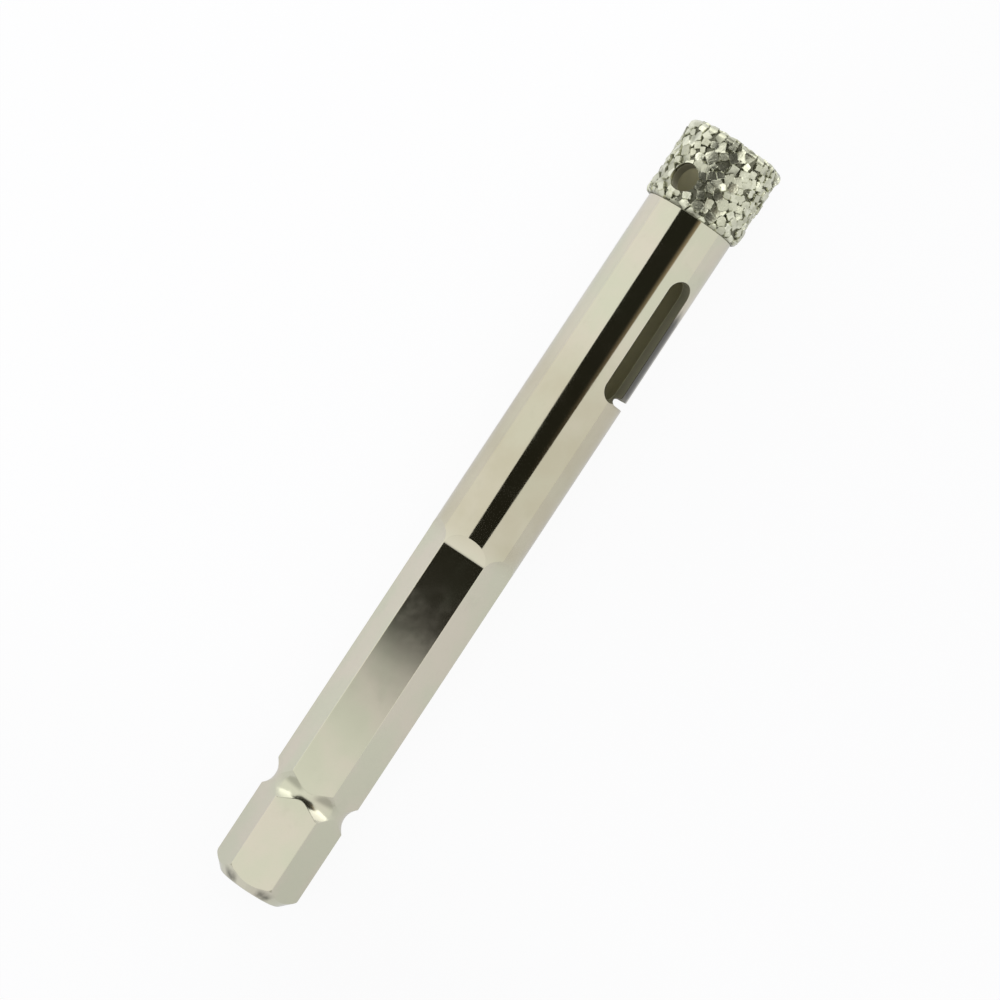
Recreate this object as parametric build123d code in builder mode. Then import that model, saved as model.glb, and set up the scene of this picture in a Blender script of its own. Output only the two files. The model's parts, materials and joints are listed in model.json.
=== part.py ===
from build123d import *
import os
from math import pi, radians, tan
from random import Random

# Hollow diamond drill bit, turned and milled from one round bar: a hex shank with a ball groove,
# a round barrel with a window for the core, and a coarse diamond crown over the tip.
# Millimetres. The drill's axis is X, from the middle of the tail end to the tip.
# Angles go round the axis from straight up (+Z) towards -Y.

# Round bar and hex shank
overall_length = 67.5
bar_diameter = 7.3
hex_across_flats = 6.35
hex_length = 30.1
runout_radius = 2.05
tail_chamfer = 1.1
tail_edge_round = 0.45

# Ball groove of the quick-change shank
groove_from_tail = 8.4
groove_depth = 0.52
groove_radius = 1.5

# Bore from the tip to a drill point behind the window
bore_diameter = 5.5
bore_past_window = 1.5
drill_point_angle = 118

# Window in the barrel's side, where the core is pushed out
window_from_tail = 45.7
window_length = 10.7
window_width = 2.2
window_angle = 48.6

# Nick across the barrel's side at the window's tail end
nick_from_tail = 46.1
nick_width = 0.7
nick_depth = 1.0
nick_angle = 96.3

# Diamond crown: its thickness over the barrel and its rim, to the tallest grains, and its side hole
crown_thickness = 0.5
crown_rim = 0.45
crown_length = 6.7
crown_tip_round = 0.65
hole_diameter = 2.3
hole_from_tip = 4.55
hole_angle = -27.3

# Diamond grains, which stand out of the metal that bonds them
grain_length = 0.9
grain_width = 0.75
grain_height = 0.6
grain_rise = 0.2
bond_tip_chamfer = 0.3
grain_spacing = 0.96
grain_unevenness = 0.1

# Sizes that follow from these
bar_radius = bar_diameter / 2
flat_height = hex_across_flats / 2
bore_radius = bore_diameter / 2
crown_radius = bar_radius + crown_thickness
bond_radius = crown_radius - grain_rise
bond_end = overall_length - grain_rise
crown_back = overall_length - crown_length
body_length = overall_length - crown_rim
bore_bottom = window_from_tail - bore_past_window
drill_point_length = bore_radius / tan(radians(drill_point_angle / 2))

# The drill that makes the round hole through the crown and the wall under it
with BuildPart() as side_drill:
    with BuildSketch(Plane.XY.rotated((hole_angle, 0, 0))):
        with Locations((overall_length - hole_from_tip, 0)):
            Circle(hole_diameter / 2)
    extrude(amount=2 * crown_radius)

# Steel body: the bar and its bore are turned, the tail is chamfered and its edges are rounded
with BuildPart() as steel_body:
    with BuildSketch(Plane.XZ):
        with BuildLine():
            Polyline(
                (0, 0),
                (0, bar_radius),
                (body_length, bar_radius),
                (body_length, bore_radius),
                (bore_bottom, bore_radius),
                (bore_bottom - drill_point_length, 0),
                (0, 0),
            )
        make_face()
    revolve(axis=Axis.X)
    tail_face = steel_body.faces().sort_by(Axis.X)[0]
    chamfer(tail_face.edges(), tail_chamfer)
    turned_edges = steel_body.edges().filter_by(GeomType.CIRCLE).group_by(Axis.X)
    fillet(turned_edges[0] + turned_edges[1], tail_edge_round)

    # The ball groove, turned all round
    with BuildSketch(Plane.XZ):
        with Locations((groove_from_tail, bar_radius - groove_depth + groove_radius)):
            Circle(groove_radius)
    revolve(axis=Axis.X, mode=Mode.SUBTRACT)

    # Six flats, each milled from the tail and ending in the cutter's round run-out
    for flat in range(6):
        with BuildSketch(Plane.XZ.rotated((flat * 60, 0, 0))):
            with BuildLine():
                floor = Line((-tail_chamfer, flat_height), (hex_length, flat_height))
                runout = JernArc(floor @ 1, floor % 1, runout_radius, 90)
                Polyline(runout @ 1, (-tail_chamfer, (runout @ 1).Y), floor @ 0)
            make_face()
        extrude(amount=bar_radius, both=True, mode=Mode.SUBTRACT)

    # The window, milled through one wall
    with BuildSketch(Plane.XY.rotated((window_angle, 0, 0))):
        with Locations((window_from_tail + window_length / 2, 0)):
            SlotOverall(window_length, window_width)
    extrude(amount=bar_diameter, mode=Mode.SUBTRACT)

    # The nick, round-bottomed and cut across the barrel's side
    with BuildSketch(Plane.XZ.rotated((nick_angle, 0, 0))):
        with Locations((nick_from_tail, bar_radius - nick_depth + nick_width / 2)):
            Circle(nick_width / 2)
            Rectangle(nick_width, bar_radius, align=(Align.CENTER, Align.MIN))
    extrude(amount=bar_radius, both=True, mode=Mode.SUBTRACT)

    add(side_drill.part, mode=Mode.SUBTRACT)

# Half section of the crown. The tallest grains reach its outline, from the back over the tip to the bore
with BuildSketch(Plane.XZ) as crown_section:
    with BuildLine():
        side_line = Line((crown_back, crown_radius), (overall_length - crown_tip_round, crown_radius))
        tip_arc = JernArc(side_line @ 1, side_line % 1, crown_tip_round, -90)
        end_line = Line(tip_arc @ 1, (overall_length, bore_radius))
        Polyline(
            (overall_length, bore_radius),
            (body_length, bore_radius),
            (body_length, bar_radius),
            (crown_back, bar_radius),
            (crown_back, crown_radius),
        )
    make_face()
crown_outline = Wire([side_line, tip_arc, end_line])


def sunk_grain(seat, scatter):
    """Turn a grain at random and sink it until its highest corner lies at or just under its seat."""
    turn = Rotation(scatter.uniform(0, 360), scatter.uniform(0, 360), scatter.uniform(0, 360))
    highest = (turn * Box(grain_length, grain_width, grain_height)).bounding_box().max.Z
    return seat * Location((0, 0, -highest - scatter.uniform(0, grain_unevenness))) * turn


def scattered_grains(outline):
    """Places for the grains: rings along the outline, each grain moved and turned at random."""
    scatter = Random(7)
    rings = round(outline.length / grain_spacing)
    places = []
    for ring in range(rings):
        share = (ring + 0.5) / rings
        point, along = outline @ share, outline % share
        seat = Plane((point.X, 0, point.Y), z_dir=(-along.Y, 0, along.X))
        count = round(2 * pi * point.Y / grain_spacing)
        for grain in range(count):
            angle = 360 * (grain + ring % 2 / 2 + scatter.uniform(-0.25, 0.25)) / count
            round_axis = Location((0, 0, 0), (angle, 0, 0))
            places.append(sunk_grain(round_axis * seat.location, scatter))
    return places


# Diamond crown: the bond and its grains, trimmed to the section that sits over the barrel's end
with BuildPart() as diamond_crown:
    with BuildSketch(Plane.XZ):
        with BuildLine():
            Polyline(
                (crown_back, 0),
                (crown_back, bond_radius),
                (bond_end, bond_radius),
                (bond_end, 0),
                (crown_back, 0),
            )
        make_face()
        chamfer(vertices().group_by(Axis.X)[-1].sort_by(Axis.Y)[-1], bond_tip_chamfer)
    revolve(axis=Axis.X)
    with Locations(*scattered_grains(crown_outline)):
        Box(grain_length, grain_width, grain_height)
    revolve(crown_section.sketch, axis=Axis.X, mode=Mode.INTERSECT)
    add(side_drill.part, mode=Mode.SUBTRACT)

steel_body.part.label = "steel_body"
diamond_crown.part.label = "diamond_crown"

os.makedirs("parts", exist_ok=True)
export_step(steel_body.part, "parts/steel_body.step")
export_step(diamond_crown.part, "parts/diamond_crown.step")
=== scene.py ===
import json
from math import atan2, cos, pi, radians, sin
from random import Random

import bpy
import numpy as np
from bpy.props import FloatProperty, FloatVectorProperty, IntProperty, PointerProperty
from mathutils import Matrix, Vector


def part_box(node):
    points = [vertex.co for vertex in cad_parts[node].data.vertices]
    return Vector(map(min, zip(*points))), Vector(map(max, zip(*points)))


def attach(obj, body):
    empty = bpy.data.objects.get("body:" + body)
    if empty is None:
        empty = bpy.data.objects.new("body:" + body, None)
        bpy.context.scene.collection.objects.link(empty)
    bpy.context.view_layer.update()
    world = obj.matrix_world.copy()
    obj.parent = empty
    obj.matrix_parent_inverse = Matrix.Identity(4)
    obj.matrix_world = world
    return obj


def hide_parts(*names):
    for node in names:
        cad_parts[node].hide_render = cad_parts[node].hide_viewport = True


bl_info = {
    "name": "Diamond Drill Bit",
    "version": (1, 0, 0),
    "blender": (4, 5, 0),
    "location": "View3D > Sidebar > Drill Bit",
    "description": "Plates the steel, builds the grit crown and lights the bit on a pale floor",
    "category": "Object",
}

# The drill's axis is X, from the middle of the tail end to the tip. Angles go round it from +Z towards -Y.
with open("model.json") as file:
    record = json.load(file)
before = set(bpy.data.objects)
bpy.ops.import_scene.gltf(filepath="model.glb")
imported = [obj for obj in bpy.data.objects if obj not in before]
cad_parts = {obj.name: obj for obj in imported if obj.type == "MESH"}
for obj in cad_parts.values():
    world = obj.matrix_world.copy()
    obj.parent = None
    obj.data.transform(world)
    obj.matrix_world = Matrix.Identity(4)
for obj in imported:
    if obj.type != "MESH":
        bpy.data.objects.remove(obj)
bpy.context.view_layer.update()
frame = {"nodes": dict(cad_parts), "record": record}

MM = 0.001
ROOT = "root"


def drill_bit_mount(name):
    """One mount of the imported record, by its name."""
    return next(mount for mount in frame["record"]["mounts"] if mount["name"] == name)


def half_width(node):
    """Half of a node's greatest width across the drill's axis."""
    low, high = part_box(node)
    return max(high.y - low.y, high.z - low.z) / 2


BAR_RADIUS = half_width("steel_body")
BODY_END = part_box("steel_body")[1].x
CROWN_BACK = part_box("diamond_crown")[0].x
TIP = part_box("diamond_crown")[1].x
CROWN_RADIUS = half_width("diamond_crown")
BORE = drill_bit_mount("core_bore")
BORE_RADIUS = BORE["dims"]["r_mm"] * MM
BORE_BOTTOM = BORE["pos_m"][0] - BORE["dims"]["length_mm"] * MM / 2


# Settings


class SteelSettings(bpy.types.PropertyGroup):
    """Nickel plate on the steel body"""

    warm_plate: FloatVectorProperty(
        name="Warm Plate",
        description="Colour of the plate where it leans towards straw",
        subtype="COLOR",
        default=(0.70, 0.655, 0.53),
    )
    cool_plate: FloatVectorProperty(
        name="Cool Plate",
        description="Colour of the plate where it leans towards green",
        subtype="COLOR",
        default=(0.655, 0.655, 0.505),
    )
    straw_plate: FloatVectorProperty(
        name="Straw Plate",
        description="Colour of the plate along the first half of the barrel",
        subtype="COLOR",
        default=(0.58, 0.54, 0.40),
    )
    bore_steel: FloatVectorProperty(
        name="Bore Steel",
        description="Colour of the dull walls of the bore and its openings",
        subtype="COLOR",
        default=(0.53, 0.51, 0.36),
    )
    polish: FloatProperty(
        name="Roughness",
        description="Roughness of the plate where it is cleanest",
        subtype="FACTOR",
        min=0.0,
        max=1.0,
        default=0.06,
    )
    edge_round: FloatProperty(
        name="Edge Round",
        description="Radius that the plate gives to sharp edges",
        unit="LENGTH",
        default=0.06 * MM,
    )
    groove_from_tail: FloatProperty(
        name="Groove from Tail",
        description="Distance from the tail end to the middle of the turned groove",
        unit="LENGTH",
        default=8.4 * MM,
    )
    groove_depth: FloatProperty(
        name="Groove Depth",
        description="Depth of the turned groove under the round bar",
        unit="LENGTH",
        default=0.52 * MM,
    )
    groove_radius: FloatProperty(
        name="Groove Radius",
        description="Radius of the turned groove's section",
        unit="LENGTH",
        default=1.5 * MM,
    )


class CrownSettings(bpy.types.PropertyGroup):
    """Diamond grains and the braze that holds them"""

    rise: FloatProperty(
        name="Grain Rise",
        description="How far the tallest grains stand out of the braze",
        unit="LENGTH",
        default=0.32 * MM,
    )
    grain_radius: FloatProperty(
        name="Grain Radius",
        description="Distance from a grain's middle to its cube faces, for the largest grains",
        unit="LENGTH",
        default=0.52 * MM,
    )
    tilt: FloatProperty(
        name="Tilt",
        description="How far a grain may lean from lying flat",
        subtype="ANGLE",
        default=radians(12),
    )
    spacing: FloatProperty(
        name="Spacing",
        description="Least distance between two grains",
        unit="LENGTH",
        default=0.56 * MM,
    )
    tip_round: FloatProperty(
        name="Tip Round",
        description="Radius over the grains where the side turns into the tip",
        unit="LENGTH",
        default=0.65 * MM,
    )
    back_round: FloatProperty(
        name="Back Round",
        description="How far the grit thins out towards the crown's back edge",
        unit="LENGTH",
        default=0.45 * MM,
    )
    hole_radius: FloatProperty(
        name="Hole Radius",
        description="Radius of the hole through the side of the crown",
        unit="LENGTH",
        default=1.15 * MM,
    )
    hole_from_tip: FloatProperty(
        name="Hole from Tip",
        description="Distance from the tip to the middle of the side hole",
        unit="LENGTH",
        default=4.55 * MM,
    )
    hole_angle: FloatProperty(
        name="Hole Angle",
        description="Where the side hole lies round the axis",
        subtype="ANGLE",
        default=radians(-27.3),
    )
    steps_round: IntProperty(
        name="Steps Round",
        description="Mesh steps round the crown",
        min=64,
        default=512,
    )
    steps_along: IntProperty(
        name="Steps Along",
        description="Mesh steps from the crown's back over its tip to the bore",
        min=32,
        default=156,
    )
    seed: IntProperty(
        name="Seed",
        description="Start of the random places and turns of the grains",
        default=5,
    )


class StageSettings(bpy.types.PropertyGroup):
    """Camera, floor and lights"""

    lens: FloatProperty(
        name="Lens",
        description="Focal length of the camera",
        unit="CAMERA",
        default=140.0,
    )
    distance: FloatProperty(
        name="Distance",
        description="From the camera to the drill's axis",
        unit="LENGTH",
        default=295.05 * MM,
    )
    turn: FloatProperty(
        name="Turn",
        description="Where the camera stands round the drill's axis",
        subtype="ANGLE",
        default=radians(5.75),
    )
    axis_angle: FloatProperty(
        name="Axis Angle",
        description="How steeply the drill rises to the right in the picture",
        subtype="ANGLE",
        default=atan2(0.83481, 0.55054),
    )
    card_glow: FloatProperty(
        name="Card Glow",
        description="Brightness of the dark card that the metal mirrors",
        min=0.0,
        default=0.021,
    )


def settings(name):
    """The scene's settings for one piece."""
    return getattr(bpy.context.scene, name)


# Shader nodes


def add_node(tree, kind, inputs=(), **values):
    """Add a node, set its values and fill its inputs with numbers, colours or other nodes' outputs."""
    node = tree.nodes.new(kind)
    for name, value in values.items():
        setattr(node, name, value)
    for name, value in dict(inputs).items():
        if isinstance(value, bpy.types.NodeSocket):
            tree.links.new(value, node.inputs[name])
        else:
            node.inputs[name].default_value = value
    return node


def compute(tree, operation, first, second=0.0, clamp=False):
    """A Math node's result."""
    node = add_node(tree, "ShaderNodeMath", {0: first, 1: second}, operation=operation, use_clamp=clamp)
    return node.outputs["Value"]


def mix_colour(tree, share, first, second):
    """A colour between two, by a share from 0 to 1."""
    node = add_node(tree, "ShaderNodeMix", data_type="RGBA")
    for socket, value in ((0, share), (6, first), (7, second)):
        if isinstance(value, bpy.types.NodeSocket):
            tree.links.new(value, node.inputs[socket])
        else:
            node.inputs[socket].default_value = value
    return node.outputs[2]


def map_range(tree, value, low, high, to_low, to_high, kind="SMOOTHSTEP"):
    """A value carried from one range to another."""
    inputs = {"Value": value, "From Min": low, "From Max": high, "To Min": to_low, "To Max": to_high}
    return add_node(tree, "ShaderNodeMapRange", inputs, interpolation_type=kind).outputs["Result"]


def millimetres(tree, stretch=(1, 1, 1)):
    """The place on the drill in millimetres, stretched along its axes."""
    place = add_node(tree, "ShaderNodeTexCoord").outputs["Object"]
    scale = [share / MM for share in stretch]
    return add_node(tree, "ShaderNodeMapping", {"Vector": place, "Scale": scale}).outputs["Vector"]


def noise(tree, place, scale, detail=2.0, roughness=0.5):
    """Soft noise from 0 to 1, with patches of about 1/scale millimetres."""
    inputs = {"Vector": place, "Scale": scale, "Detail": detail, "Roughness": roughness}
    return add_node(tree, "ShaderNodeTexNoise", inputs).outputs["Fac"]


def bump(tree, height, distance, strength=1.0, normal=None):
    """Normals of a height in millimetres, over other normals."""
    inputs = {"Height": height, "Distance": distance, "Strength": strength}
    if normal is not None:
        inputs["Normal"] = normal
    return add_node(tree, "ShaderNodeBump", inputs).outputs["Normal"]


def new_material(name):
    """A material with its node tree and its surface shader."""
    material = bpy.data.materials.new(name)
    material.use_nodes = True
    return material, material.node_tree, material.node_tree.nodes["Principled BSDF"]


# Steel body

# Colours of the stain and the dark corners on the plate, of the painted dark reflection beside the window,
# and of the painted shade on the walls where the window and the holes are cut
STAIN = (0.45, 0.43, 0.33, 1)
CORNER_DARK = (0.09, 0.09, 0.07, 1)
PAINTED_DARK_REFLECTION = (0.07, 0.069, 0.06, 1)
SHADED_CUT_WALL = (0.10, 0.095, 0.065, 1)

# Where tints, marks and the painted dark reflection lie, in millimetres from the tail end or out from the
# axis, or in radians round it
BARREL_STARTS = (30.0, 32.0)
STRAW_ALONG = (33.0, 43.0)
CORNERS_ALONG = (0.15, 0.4)
CORNERS_OUT = (2.3, 2.9)
REFLECTION_ALONG = (47.3, 53.0)
REFLECTION_ROUND = (1.0, 1.32)

# Roughness that the dull walls and the turned groove add to the plate's
WALL_ROUGHNESS = 0.45
TURNED_ROUGHNESS = 0.12

# Heights of the waves in the plate and of its draw lines
WAVE_HEIGHT = 0.0015 * MM
LINE_HEIGHT = 0.0003 * MM


def span(tree, first, second):
    """The length of two steps at right angles."""
    squares = [compute(tree, "MULTIPLY", step, step) for step in (first, second)]
    return compute(tree, "SQRT", compute(tree, "ADD", *squares))


def round_axis(tree, place):
    """The place along the drill's axis, the distance from the axis and the angle round it."""
    parts = add_node(tree, "ShaderNodeSeparateXYZ", {"Vector": place})
    x, y, z = (parts.outputs[axis] for axis in "XYZ")
    angle = compute(tree, "ARCTAN2", compute(tree, "MULTIPLY", y, -1.0), z)
    return x, span(tree, y, z), angle


def band(tree, value, low, high, fade):
    """1 from the low end to the high end, falling softly to 0 beyond them."""
    rising = map_range(tree, value, low - fade, low, 0.0, 1.0)
    falling = map_range(tree, value, high, high + fade, 1.0, 0.0)
    return compute(tree, "MULTIPLY", rising, falling)


def darken(tree, colour, share, strength, dark):
    """A colour darkened towards a dark one, by a share and a strength."""
    return mix_colour(tree, compute(tree, "MULTIPLY", share, strength), colour, dark)


def nickel_plate():
    """Bright nickel with faint tints and draw lines, darker at the chamfer's corners, with a painted dark
    reflection beside the window. Dull inside the bore and its openings, with painted shade on the openings'
    walls.
    """
    look = settings("drill_steel")
    material, tree, shader = new_material("bright_nickel")
    place = millimetres(tree)
    x, radius, angle = round_axis(tree, place)

    # The bore, the window and the holes are as drilled, under a thin dull plate
    bar = BAR_RADIUS / MM
    hollow = map_range(tree, x, BORE_BOTTOM / MM - 2.6, BORE_BOTTOM / MM - 2.4, 0.0, 1.0)
    cut = compute(tree, "MULTIPLY", hollow, map_range(tree, radius, bar - 0.07, bar - 0.02, 1.0, 0.0))

    tint = map_range(tree, noise(tree, place, 0.22, 3.0), 0.35, 0.65, 0.0, 1.0)
    plate = mix_colour(tree, tint, (*look.warm_plate, 1), (*look.cool_plate, 1))
    patches = map_range(tree, noise(tree, place, 0.3, 3.0), 0.3, 0.7, 0.6, 1.0)
    first_half = compute(tree, "MULTIPLY", band(tree, x, *STRAW_ALONG, 9.0), patches)
    barrel = map_range(tree, x, *BARREL_STARTS, 0.0, 1.0)
    plate = mix_colour(tree, compute(tree, "MULTIPLY", first_half, barrel), plate, (*look.straw_plate, 1))
    stain = map_range(tree, noise(tree, place, 0.7, 4.0, 0.6), 0.55, 0.8, 0.0, 0.12)
    plate = mix_colour(tree, stain, plate, STAIN)

    # Darker at the chamfer's corners, and a painted dark reflection along the barrel beside the window
    streaks = noise(tree, millimetres(tree, stretch=(0.4, 1, 1)), 2.2, 4.0, 0.6)
    corner = compute(tree, "COSINE", compute(tree, "MULTIPLY", angle, 6.0))
    corner = map_range(tree, corner, -1.0, 0.1, 1.0, 0.0)
    end = compute(tree, "MULTIPLY", band(tree, x, *CORNERS_ALONG, 0.6), corner)
    end = compute(tree, "MULTIPLY", end, map_range(tree, radius, *CORNERS_OUT, 0.0, 1.0))
    plate = darken(tree, plate, compute(tree, "MULTIPLY", end, streaks), 1.3, CORNER_DARK)
    # Painted dark reflection on the barrel beside the window, with a streaky edge
    reflection_bands = band(tree, x, *REFLECTION_ALONG, 2.6), band(tree, angle, *REFLECTION_ROUND, 0.4)
    dark_reflection = compute(tree, "MULTIPLY", *reflection_bands)
    dark_reflection = compute(tree, "ADD", dark_reflection, map_range(tree, streaks, 0.3, 0.7, -0.28, 0.0, "LINEAR"))
    dark_reflection = map_range(tree, dark_reflection, 0.0, 0.85, 0.0, 1.0)
    plate = darken(tree, plate, dark_reflection, 0.95, PAINTED_DARK_REFLECTION)

    # Painted shade: the walls of the window and the holes are darker than the bore
    wall_shade = map_range(tree, radius, BORE_RADIUS / MM + 0.02, BORE_RADIUS / MM + 0.12, 0.0, 0.6)
    dull = mix_colour(tree, wall_shade, (*look.bore_steel, 1), SHADED_CUT_WALL)
    tree.links.new(mix_colour(tree, cut, plate, dull), shader.inputs["Base Color"])
    tree.links.new(map_range(tree, cut, 0.0, 1.0, 1.0, 0.3, "LINEAR"), shader.inputs["Metallic"])

    smears = map_range(tree, noise(tree, place, 0.45, 4.0, 0.6), 0.4, 0.75, look.polish, look.polish + 0.04)
    section = look.groove_radius / MM
    middle = (look.groove_radius + BAR_RADIUS - look.groove_depth) / MM
    past_middle = compute(tree, "SUBTRACT", x, look.groove_from_tail / MM)
    from_groove = span(tree, past_middle, compute(tree, "SUBTRACT", radius, middle))
    turned = map_range(tree, from_groove, section + 0.01, section + 0.03, TURNED_ROUGHNESS, 0.0)
    duller = compute(tree, "ADD", compute(tree, "MULTIPLY", cut, WALL_ROUGHNESS), turned)
    tree.links.new(compute(tree, "ADD", smears, duller), shader.inputs["Roughness"])

    lines = noise(tree, millimetres(tree, stretch=(0.06, 1, 1)), 5.0, 3.0, 0.6)
    waves = noise(tree, place, 0.35, 1.0)
    rounded = add_node(tree, "ShaderNodeBevel", {"Radius": look.edge_round}, samples=6).outputs["Normal"]
    normal = bump(tree, waves, WAVE_HEIGHT, 1.0, rounded)
    normal = bump(tree, lines, LINE_HEIGHT, 1.0, normal)
    tree.links.new(normal, shader.inputs["Normal"])
    return material


class DRILL_OT_plate_steel(bpy.types.Operator):
    """Plate the steel body with bright nickel"""

    bl_idname = "drill_bit.plate_steel"
    bl_label = "Plate Steel Body"

    def execute(self, context):
        body = frame["nodes"]["steel_body"]
        body.data.materials.clear()
        body.data.materials.append(nickel_plate())
        return {"FINISHED"}


# Diamond crown

# Height of the waves in the braze, and how far it creeps up a grain's sides
BRAZE_WAVE = 0.012 * MM
BRAZE_CREEP = 0.05 * MM

# How unevenly the grains stand, how far the grit thins out at the back edge and how thick it stays there
GRAIN_UNEVENNESS = 0.16 * MM
BACK_THINNING = 0.6
LEAST_GRIT = 0.06 * MM

# Tries to seat a grain, for each square of the spacing's side
TRIES = 30

# How near the braze's outside a point must lie to take a grain's shade
OUTSIDE_WITHIN = 0.02 * MM

# Colours of the braze and the grains, each from dark to pale, then of the grains' dust and of the painted
# shade deep in the gaps
BRAZE_COLOURS = (0.19, 0.19, 0.135, 1), (0.37, 0.37, 0.27, 1)
GRAIN_COLOURS = (0.44, 0.44, 0.32, 1), (0.86, 0.87, 0.69, 1)
DUST = (0.44, 0.45, 0.33, 1)
GAP_SHADE = (0.12, 0.12, 0.085, 1)

# Edges of the grit that turn by more than this stay sharp
SHARP_EDGE = radians(24)


class CrownSurface:
    """The braze's outside as a sheet: steps along its half section, and steps round the axis."""

    def __init__(self, look):
        self.round = look.tip_round - look.rise
        self.radius = CROWN_RADIUS - look.rise
        self.end = TIP - look.rise
        self.side = self.end - self.round - CROWN_BACK
        self.arc = self.round * pi / 2
        self.face = self.radius - self.round - BORE_RADIUS
        self.length = self.side + self.arc + self.face
        self.along = np.linspace(0, self.length, look.steps_along + 1)
        self.angles = np.arange(look.steps_round) * 2 * pi / look.steps_round

    def section(self, along):
        """Place along X, radius and outward direction in the half section, at distances along it."""
        turn = np.clip((along - self.side) / self.round, 0, pi / 2)
        past = np.maximum(along - self.side - self.arc, 0)
        x = CROWN_BACK + np.minimum(along, self.side) + self.round * np.sin(turn)
        radius = self.radius - self.round * (1 - np.cos(turn)) - past
        return x, radius, np.sin(turn), np.cos(turn)


def scattered_seats(surface, spacing, random):
    """Seats for the grains all over the sheet, none nearer to another than the spacing."""
    seats = []
    tries = int(TRIES * surface.length * 2 * pi * surface.radius / spacing**2)
    for _ in range(tries):
        along = random.uniform(0, surface.length)
        angle = random.uniform(0, 2 * pi)
        radius = float(surface.section(np.array(along))[1])
        if random.random() > radius / surface.radius:
            continue
        apart = (
            (along - other) ** 2 + (radius * ((angle - turn + pi) % (2 * pi) - pi)) ** 2
            for other, turn, _ in seats
        )
        if all(square > spacing**2 for square in apart):
            seats.append((along, angle, radius))
    return seats


def grain_planes(size, tilt, random):
    """Unit normals and distances of a grain's faces: a leaning cube with its corners cut."""
    turn = Matrix.Rotation(random.uniform(-tilt, tilt), 3, "X")
    turn = turn @ Matrix.Rotation(random.uniform(-tilt, tilt), 3, "Y")
    turn = turn @ Matrix.Rotation(random.uniform(0, 2 * pi), 3, "Z")
    planes = []
    for axis in range(3):
        reach = size * random.uniform(0.75, 1.0)
        for side in (-1, 1):
            normal = Vector((0, 0, 0))
            normal[axis] = side
            planes.append((turn @ normal, reach))
    corner_cut = size * random.uniform(1.15, 1.6)
    for corner in range(8):
        normal = Vector([1 - 2 * (corner >> axis & 1) for axis in range(3)]).normalized()
        planes.append((turn @ normal, corner_cut))
    return planes


def grain_heights(planes, along, across):
    """Height of a grain's top over its middle, or minus infinity beside it."""
    top = np.full(along.shape, np.inf)
    bottom = np.full(along.shape, -np.inf)
    for normal, reach in planes:
        level = (reach - normal.x * along - normal.y * across) / (normal.z or 1e-9)
        if normal.z > 0:
            top = np.minimum(top, level)
        else:
            bottom = np.maximum(bottom, level)
    return np.where(top > bottom, top, -np.inf)


def grit_relief(surface, look):
    """Heights over the sheet, and which grain shows at each step (0 is the braze)."""
    random = Random(look.seed)
    heights = np.zeros((len(surface.along), len(surface.angles)))
    heights += BRAZE_WAVE * np.sin(surface.along[:, None] / (0.23 * MM) + 3 * np.sin(5 * surface.angles))
    heights += BRAZE_WAVE * np.sin(23 * surface.angles + 2 * np.sin(surface.along[:, None] / (0.6 * MM)))
    shown = np.zeros(heights.shape, int)
    for number, (along, angle, radius) in enumerate(scattered_seats(surface, look.spacing, random), 1):
        planes = grain_planes(look.grain_radius * random.uniform(0.55, 1.0), look.tilt, random)
        rows = np.nonzero(abs(surface.along - along) < 2 * look.grain_radius)[0]
        turns = (surface.angles - angle + pi) % (2 * pi) - pi
        columns = np.nonzero(abs(turns) * radius < 2 * look.grain_radius)[0]
        cell = np.ix_(rows, columns)
        u = np.broadcast_to((surface.along[rows] - along)[:, None], (len(rows), len(columns)))
        v = np.broadcast_to(turns[columns] * radius, u.shape)
        top = grain_heights(planes, u, v)
        lift = look.rise - random.uniform(0, GRAIN_UNEVENNESS) - top[np.isfinite(top)].max()
        top = np.maximum(top + lift, -1.0)
        old = heights[cell]
        near = np.clip(BRAZE_CREEP - abs(top - old), 0, None)
        shown[cell] = np.where(top > old, number, shown[cell])
        higher = np.maximum(top, old)
        heights[cell] = np.where(shown[cell] == 0, higher + near**2 / (4 * BRAZE_CREEP), higher)
    heights = np.minimum(heights, look.rise)

    # The grit thins out towards the back edge, but never down to the barrel
    short = np.clip(1 - surface.along / look.back_round, 0, 1)
    thinned = heights - BACK_THINNING * look.back_round * (1 - np.sqrt(1 - short**2))[:, None]
    lowest = BAR_RADIUS + LEAST_GRIT - surface.radius
    return np.where(surface.along[:, None] < look.back_round, np.maximum(thinned, lowest), heights), shown


def crown_mesh(surface, heights):
    """A closed ring: the relief outside, and the plain socket, seat and bore inside."""
    cosines, sines = np.cos(surface.angles), -np.sin(surface.angles)
    x, radius, lean_x, lean_out = surface.section(surface.along)
    ring = np.ones(len(surface.angles))
    rows = [(BODY_END * ring, BAR_RADIUS * ring), (CROWN_BACK * ring, BAR_RADIUS * ring)]
    for row, height in enumerate(heights):
        rows.append((x[row] + height * lean_x[row], radius[row] + height * lean_out[row]))
    rows[-1] = (rows[-1][0], BORE_RADIUS * ring)
    rows.append((BODY_END * ring, BORE_RADIUS * ring))
    vertices = [np.stack((place, reach * sines, reach * cosines), axis=-1) for place, reach in rows]

    count = len(surface.angles)
    first = np.arange(count)
    following = (first + 1) % count
    faces = []
    for row in range(len(rows)):
        here, there = row * count, (row + 1) % len(rows) * count
        faces.append(np.stack([here + first, there + first, there + following, here + following], axis=1))
    mesh = bpy.data.meshes.new("diamond_grit_crown")
    mesh.from_pydata(np.concatenate(vertices).tolist(), [], np.concatenate(faces).tolist())
    return mesh


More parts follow.
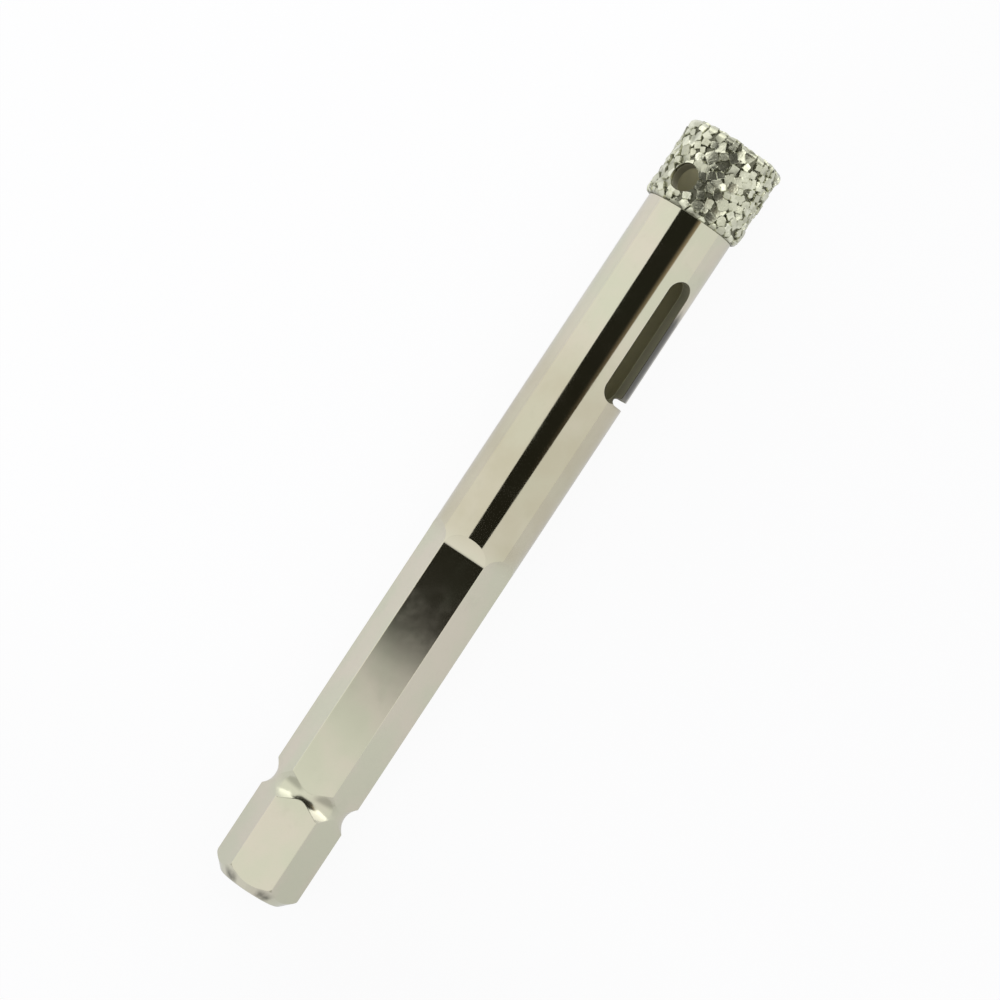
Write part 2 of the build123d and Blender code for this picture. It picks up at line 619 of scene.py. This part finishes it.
def drilled(crown, look):
    """Cut the side hole through the crown."""
    direction = Vector((0, -sin(look.hole_angle), cos(look.hole_angle)))
    starts, ends = 0.5 * BORE_RADIUS, 2 * CROWN_RADIUS
    steps = 72
    angles = np.arange(steps) * 2 * pi / steps
    across = direction.cross(Vector((1, 0, 0)))
    middle = Vector((TIP - look.hole_from_tip, 0, 0))
    vertices = []
    for reach in (starts, ends):
        for angle in angles:
            side = Vector((1, 0, 0)) * cos(angle) + across * sin(angle)
            vertices.append(middle + direction * reach + side * look.hole_radius)
    following = [(step + 1) % steps for step in range(steps)]
    faces = [(step, following[step], steps + following[step], steps + step) for step in range(steps)]
    faces += [tuple(range(steps))[::-1], tuple(range(steps, 2 * steps))]
    mesh = bpy.data.meshes.new("side_drill")
    mesh.from_pydata(vertices, [], faces)
    drill = bpy.data.objects.new("side_drill", mesh)
    bpy.context.scene.collection.objects.link(drill)
    cut = crown.modifiers.new("side_hole", "BOOLEAN")
    cut.operation = "DIFFERENCE"
    cut.solver = "EXACT"
    cut.object = drill
    graph = bpy.context.evaluated_depsgraph_get()
    result = bpy.data.meshes.new_from_object(crown.evaluated_get(graph))
    crown.modifiers.clear()
    crown.data = result
    bpy.data.objects.remove(drill)


def mark_grains(mesh, surface, heights, shown, look):
    """Give each point of the crown its grain's shade, 0 on the braze, and its height. Inside, both are 0."""
    points = np.zeros(len(mesh.vertices) * 3)
    mesh.vertices.foreach_get("co", points)
    x, y, z = points.reshape(-1, 3).T
    radius = np.hypot(y, z)
    angle = np.arctan2(-y, z) % (2 * pi)
    corner_x, corner_radius = surface.end - surface.round, surface.radius - surface.round
    turn = np.clip(np.arctan2(x - corner_x, radius - corner_radius), 0, pi / 2)
    along = np.where(x < corner_x, x - CROWN_BACK, surface.side + turn * surface.round)
    along = np.where(radius < corner_radius, surface.side + surface.arc + corner_radius - radius, along)
    rows = np.clip(np.rint(along / surface.length * look.steps_along).astype(int), 0, look.steps_along)
    columns = np.rint(angle / (2 * pi) * look.steps_round).astype(int) % look.steps_round
    outside = (radius > surface.radius - OUTSIDE_WITHIN) | (x > surface.end - OUTSIDE_WITHIN)
    outside |= (x > corner_x) & (radius > corner_radius)
    random = Random(look.seed + 1)
    shades = np.array([0.0] + [random.uniform(0.3, 1.0) for _ in range(int(shown.max()))])
    values = {
        "grain_shade": np.where(outside, shades[shown[rows, columns]], 0.0),
        "grain_height": np.where(outside, heights[rows, columns] / look.rise, 0.0),
    }
    for name, value in values.items():
        mesh.attributes.new(name, "FLOAT", "POINT").data.foreach_set("value", value.astype(np.float32))


def diamond_grit():
    """Paler, glossier grains, each of its own tone, over dark nickel braze that shows in the gaps, with
    painted shade deep in the gaps.
    """
    material, tree, shader = new_material("diamond_grit")
    place = millimetres(tree)
    shade = add_node(tree, "ShaderNodeAttribute", attribute_name="grain_shade").outputs["Fac"]
    height = add_node(tree, "ShaderNodeAttribute", attribute_name="grain_height").outputs["Fac"]
    is_grain = map_range(tree, shade, 0.05, 0.2, 0.0, 1.0)

    mottle = noise(tree, place, 1.6, 4.0, 0.6)
    braze = mix_colour(tree, mottle, *BRAZE_COLOURS)
    grain = mix_colour(tree, shade, *GRAIN_COLOURS)
    dusted = mix_colour(tree, map_range(tree, mottle, 0.42, 0.65, 0.0, 0.5), grain, DUST)
    colour = mix_colour(tree, is_grain, braze, dusted)
    # Painted shade: the lower the braze lies between the grains, the darker it is
    gap_shade = map_range(tree, height, 0.05, 0.5, 0.6, 0.0)
    tree.links.new(mix_colour(tree, gap_shade, colour, GAP_SHADE), shader.inputs["Base Color"])

    braze_rough = map_range(tree, noise(tree, place, 3.0, 3.0), 0.3, 0.7, 0.35, 0.6)
    grain_rough = map_range(tree, noise(tree, place, 2.0, 3.0), 0.3, 0.7, 0.12, 0.26)
    spread = compute(tree, "SUBTRACT", grain_rough, braze_rough)
    roughness = compute(tree, "ADD", braze_rough, compute(tree, "MULTIPLY", is_grain, spread))
    tree.links.new(roughness, shader.inputs["Roughness"])

    pits = noise(tree, place, 4.0, 4.0, 0.65)
    tree.links.new(bump(tree, pits, 0.02 * MM), shader.inputs["Normal"])
    shader.inputs["Metallic"].default_value = 0.92
    return material


class DRILL_OT_build_crown(bpy.types.Operator):
    """Build the crown of brazed diamond grains, with its side hole"""

    bl_idname = "drill_bit.build_crown"
    bl_label = "Build Diamond Crown"

    def execute(self, context):
        look = settings("drill_crown")
        surface = CrownSurface(look)
        heights, shown = grit_relief(surface, look)
        crown = bpy.data.objects.new("diamond_grit_crown", crown_mesh(surface, heights))
        context.scene.collection.objects.link(crown)
        drilled(crown, look)
        mark_grains(crown.data, surface, heights, shown, look)
        crown.data.materials.clear()
        crown.data.materials.append(diamond_grit())
        crown.data.shade_smooth()
        crown.data.set_sharp_from_angle(angle=SHARP_EDGE)
        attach(crown, ROOT)
        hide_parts("diamond_crown")
        return {"FINISHED"}


# Stage


class Viewpoint:
    """The camera's place and directions, and the drill's directions as the camera sees them."""

    # A place on the drill's axis, and the pixel where it appears in the square picture
    AIM_X = 34.45 * MM
    AIM_PIXEL = (498.89, 509.36)
    PICTURE = 1000
    SENSOR = 36.0

    def __init__(self, look):
        self.towards = Vector((0, -sin(look.turn), cos(look.turn)))
        self.along = Vector((1, 0, 0))
        self.across = self.along.cross(self.towards) * -1
        rise, run = sin(look.axis_angle), cos(look.axis_angle)
        self.right = run * self.along - rise * self.across
        self.up = rise * self.along + run * self.across
        pixel = look.distance * self.SENSOR / look.lens / self.PICTURE
        off_right = (self.AIM_PIXEL[0] - self.PICTURE / 2) * pixel
        off_up = (self.PICTURE / 2 - self.AIM_PIXEL[1]) * pixel
        aim = Vector((self.AIM_X, 0, 0))
        self.place = aim + look.distance * self.towards - off_right * self.right - off_up * self.up


def facing(place, x_axis, z_axis):
    """A frame at a place, with its X and Z axes along two directions."""
    y_axis = z_axis.cross(x_axis)
    turn = Matrix((x_axis, y_axis, z_axis)).transposed().to_4x4()
    return Matrix.Translation(place) @ turn


def add_stage_mesh(name, vertices, faces, material):
    """A mesh of the stage."""
    mesh = bpy.data.meshes.new(name)
    mesh.from_pydata(vertices, [], faces)
    mesh.materials.append(material)
    piece = bpy.data.objects.new(name, mesh)
    bpy.context.scene.collection.objects.link(piece)
    return piece


def rays_to(tree):
    """Which rays serve the eye, also through glass, which serve metal and which serve dull surfaces."""
    rays = add_node(tree, "ShaderNodeLightPath").outputs
    to_eye = compute(tree, "ADD", rays["Is Camera Ray"], rays["Is Transmission Ray"], clamp=True)
    return to_eye, rays["Is Glossy Ray"], rays["Is Diffuse Ray"]


# How much of the floor is its own white, to the eye and to the metal
FLOOR_TO_EYE = 0.92
FLOOR_TO_METAL = 0.3

# Half the floor's width, and the steepest that it is tried at
FLOOR_REACH = 3.0
STEEPEST = 0.1


def floor_material():
    """Pale floor: partly lit, for the shadow, and partly its own white, more to the eye than to the metal."""
    material, tree, shader = new_material("pale_floor")
    place = millimetres(tree)
    parts = add_node(tree, "ShaderNodeSeparateXYZ", {"Vector": place}).outputs

    # Painted shade on the floor: darker towards -Y and behind the tail end
    tone = map_range(tree, noise(tree, place, 0.02, 2.0), 0.3, 0.7, 0.90, 0.93)
    tone = compute(tree, "SUBTRACT", tone, map_range(tree, parts["Y"], -14.0, 10.0, 0.17, 0.0))
    tone = compute(tree, "SUBTRACT", tone, map_range(tree, parts["X"], -2.0, 16.0, 0.12, 0.0))
    cool = compute(tree, "MULTIPLY", tone, 1.06)
    colour = add_node(tree, "ShaderNodeCombineColor", {"Red": tone, "Green": tone, "Blue": cool})
    tree.links.new(colour.outputs["Color"], shader.inputs["Base Color"])
    shader.inputs["Roughness"].default_value = 0.9
    shader.inputs["Specular IOR Level"].default_value = 0.0
    white = add_node(tree, "ShaderNodeEmission", {"Color": (1, 1, 1, 1), "Strength": 1.0})
    to_eye, to_metal, _ = rays_to(tree)
    to_eye = compute(tree, "MULTIPLY", to_eye, FLOOR_TO_EYE)
    to_metal = compute(tree, "MULTIPLY", to_metal, FLOOR_TO_METAL)
    mixed = add_node(tree, "ShaderNodeMixShader", {0: compute(tree, "ADD", to_eye, to_metal)})
    tree.links.new(shader.outputs[0], mixed.inputs[1])
    tree.links.new(white.outputs[0], mixed.inputs[2])
    tree.links.new(mixed.outputs[0], tree.nodes["Material Output"].inputs["Surface"])
    return material


def lay_floor(pieces, balance):
    """A floor that rises under the pieces' middle until it touches them near both ends."""
    points = np.array(
        [piece.matrix_world @ vertex.co for piece in pieces for vertex in piece.data.vertices]
    )
    from_balance, heights = points[:, 0] - balance, points[:, 2]

    # Narrow the slope down to the one that lets the floor rise highest under the middle
    low, high = -STEEPEST, STEEPEST
    for _ in range(50):
        slopes = (2 * low + high) / 3, (low + 2 * high) / 3
        levels = [np.min(heights - slope * from_balance) for slope in slopes]
        if levels[0] < levels[1]:
            low = slopes[0]
        else:
            high = slopes[1]
    corners = []
    for x, y in ((-1, -1), (1, -1), (1, 1), (-1, 1)):
        x, y = x * FLOOR_REACH, y * FLOOR_REACH
        corners.append((x, y, levels[0] + slopes[0] * (x - balance)))
    add_stage_mesh("floor", corners, [(0, 1, 2, 3)], floor_material())


# The dark card's edges: their distance from the camera at a start along it, and how fast they draw apart
CARD_START = -6 * MM
CARD_UPPER = (-131 * MM, -0.78)
CARD_LOWER = (101 * MM, 0.73)

# How clear the dark card is, by millimetres along it from under the camera
CARD_FADE = (
    (-66, 1.0),
    (-46, 0.92),
    (-39.5, 0.82),
    (-32.7, 0.68),
    (-27.4, 0.30),
    (-22.5, 0.022),
    (-17, 0.008),
    (-10.6, 0.0),
)

# The card's warm lower edge: its colour, its width and how far from under the camera it is in full
CARD_WARM = (0.36, 0.28, 0.19, 1)
CARD_WARM_WIDTH = 75 * MM
CARD_WARM_FULL = 60 * MM

# Where the card ends from under the camera, on its tail side and on its crown side
CARD_ENDS = (-70 * MM, 200 * MM)


def card_material(glow):
    """A dark card that fades out towards its tail end. Its own X runs from there to the crown end."""
    material = bpy.data.materials.new("dark_card")
    material.use_nodes = True
    tree = material.node_tree
    tree.nodes.clear()
    place = add_node(tree, "ShaderNodeTexCoord").outputs["Object"]
    along, across, _ = add_node(tree, "ShaderNodeSeparateXYZ", {"Vector": place}).outputs
    ramp = add_node(tree, "ShaderNodeFloatCurve")
    curve = ramp.mapping.curves[0]
    (first, first_clear), (last, last_clear) = CARD_FADE[0], CARD_FADE[-1]
    for distance, clear in CARD_FADE[1:-1]:
        curve.points.new((distance - first) / (last - first), 1 - clear)
    curve.points[0].location = (0.0, 1 - first_clear)
    curve.points[-1].location = (1.0, 1 - last_clear)
    ramp.mapping.update()
    share = map_range(tree, along, first * MM, last * MM, 0.0, 1.0, "LINEAR")
    tree.links.new(share, ramp.inputs["Value"])
    solid = ramp.outputs[0]
    edge, slope = CARD_LOWER
    from_edge = compute(tree, "ADD", across, compute(tree, "MULTIPLY", along, slope))
    from_edge = compute(tree, "ADD", from_edge, edge - slope * CARD_START)
    warm = map_range(tree, from_edge, 0.0, CARD_WARM_WIDTH, 1.0, 0.0)
    warm = compute(tree, "MULTIPLY", warm, map_range(tree, along, 0.0, CARD_WARM_FULL, 0.0, 1.0))
    shade = mix_colour(tree, warm, (glow, 0.97 * glow, 0.7 * glow, 1), CARD_WARM)
    dark = add_node(tree, "ShaderNodeEmission", {"Color": shade, "Strength": 1.0})
    clear = add_node(tree, "ShaderNodeBsdfTransparent")
    mixed = add_node(tree, "ShaderNodeMixShader", {0: solid, 1: clear.outputs[0], 2: dark.outputs[0]})
    output = add_node(tree, "ShaderNodeOutputMaterial")
    tree.links.new(mixed.outputs[0], output.inputs["Surface"])
    return material


def hang_card(view, look):
    """A dark card round the camera, which the metal mirrors as its dark stripe."""
    corners = []
    for (edge, slope), ends in ((CARD_UPPER, CARD_ENDS), (CARD_LOWER, CARD_ENDS[::-1])):
        for along in ends:
            corners.append((along, -(edge + slope * (along - CARD_START)), 0))
    card = add_stage_mesh("dark_card", corners, [(0, 1, 2, 3)], card_material(look.card_glow))
    card.matrix_world = facing(view.place, view.along, view.towards)
    card.visible_camera = False
    card.visible_diffuse = False
    card.visible_shadow = False
    card.visible_transmission = False


# Square soft lamps: the place from the drill's middle, the width, the brightness and whether metal mirrors it
LAMPS = (
    ("left_light", (0.22, 0.25, 0.14), 0.30, 0.72, True),
    ("right_light", (0.22, -0.25, 0.14), 0.30, 0.90, True),
    ("top_light", (-0.25, 0.30, 0.55), 0.40, 0.55, False),
)

# How bright the room is as a light on dull surfaces
ROOM_AS_LIGHT = 0.8


def add_lamp(name, place, aim, size, radiance, seen_in_metal):
    """A square soft light of a given brightness, which faces a point."""
    lamp = bpy.data.lights.new(name, "AREA")
    lamp.shape = "SQUARE"
    lamp.size = size
    lamp.energy = radiance * pi * size * size
    piece = bpy.data.objects.new(name, lamp)
    bpy.context.scene.collection.objects.link(piece)
    back = (place - aim).normalized()
    piece.matrix_world = Matrix.Translation(place) @ back.to_track_quat("Z", "Y").to_matrix().to_4x4()
    piece.visible_camera = False
    piece.visible_glossy = seen_in_metal


def light_room():
    """A white room, dimmer as a light than to the eye. The metal sees it partly grey."""
    world = bpy.data.worlds.new("white_room")
    world.use_nodes = True
    bpy.context.scene.world = world
    tree = world.node_tree
    background = tree.nodes["Background"]
    direction = add_node(tree, "ShaderNodeTexCoord").outputs["Generated"]
    parts = add_node(tree, "ShaderNodeSeparateXYZ", {"Vector": direction}).outputs

    # Grey at the crown end, a little grey on the -Y side, and grey at the tail end's two corners
    crown_end = map_range(tree, parts["X"], 0.4, 0.85, 1.0, 0.4)
    in_metal = compute(tree, "MULTIPLY", map_range(tree, parts["Y"], -0.5, 0.5, 0.9, 1.0), crown_end)
    aside = map_range(tree, compute(tree, "ABSOLUTE", parts["Y"]), 0.2, 0.5, 0.0, 1.0)
    tail_corners = compute(tree, "MULTIPLY", map_range(tree, parts["X"], -0.6, -0.15, 0.42, 0.0), aside)
    in_metal = compute(tree, "MULTIPLY", in_metal, compute(tree, "SUBTRACT", 1.0, tail_corners))

    to_eye, to_metal, to_dull = rays_to(tree)
    seen = compute(tree, "ADD", to_eye, compute(tree, "MULTIPLY", to_metal, in_metal))
    strength = compute(tree, "ADD", seen, compute(tree, "MULTIPLY", to_dull, ROOM_AS_LIGHT))
    background.inputs["Color"].default_value = (1, 1, 1, 1)
    tree.links.new(strength, background.inputs["Strength"])


class DRILL_OT_set_stage(bpy.types.Operator):
    """Set the camera, the floor, the dark card and the lights"""

    bl_idname = "drill_bit.set_stage"
    bl_label = "Set Stage"

    def execute(self, context):
        look = settings("drill_stage")
        view = Viewpoint(look)
        camera = bpy.data.objects.new("camera", bpy.data.cameras.new("camera"))
        context.scene.collection.objects.link(camera)
        camera.data.lens = look.lens
        camera.data.sensor_width = view.SENSOR
        camera.data.clip_start = 10 * MM
        camera.matrix_world = facing(view.place, view.right, view.towards)
        context.scene.camera = camera
        context.scene.view_settings.view_transform = "Standard"

        lay_floor([frame["nodes"]["steel_body"], bpy.data.objects["diamond_grit_crown"]], view.AIM_X)
        hang_card(view, look)
        light_room()
        middle = Vector((view.AIM_X, 0, 0))
        for name, offset, *values in LAMPS:
            add_lamp(name, middle + Vector(offset), middle, *values)
        return {"FINISHED"}


# Panel and registration


class DRILL_PT_sidebar(bpy.types.Panel):
    """Settings and steps of the drill bit"""

    bl_idname = "DRILL_PT_sidebar"
    bl_label = "Drill Bit"
    bl_space_type = "VIEW_3D"
    bl_region_type = "UI"
    bl_category = "Drill Bit"

    def draw(self, context):
        for name, _, operator in PIECES:
            box = self.layout.box()
            group = settings(name)
            for key in group.bl_rna.properties.keys():
                if key not in ("rna_type", "name"):
                    box.prop(group, key)
            box.operator(operator.bl_idname)


PIECES = (
    ("drill_steel", SteelSettings, DRILL_OT_plate_steel),
    ("drill_crown", CrownSettings, DRILL_OT_build_crown),
    ("drill_stage", StageSettings, DRILL_OT_set_stage),
)


def register():
    for name, group, operator in PIECES:
        bpy.utils.register_class(group)
        bpy.utils.register_class(operator)
        setattr(bpy.types.Scene, name, PointerProperty(type=group))
    bpy.utils.register_class(DRILL_PT_sidebar)


def unregister():
    bpy.utils.unregister_class(DRILL_PT_sidebar)
    for name, group, operator in reversed(PIECES):
        delattr(bpy.types.Scene, name)
        bpy.utils.unregister_class(operator)
        bpy.utils.unregister_class(group)


def main():
    register()
    bpy.ops.drill_bit.plate_steel()
    bpy.ops.drill_bit.build_crown()
    bpy.ops.drill_bit.set_stage()


if __name__ == "__main__":
    main()
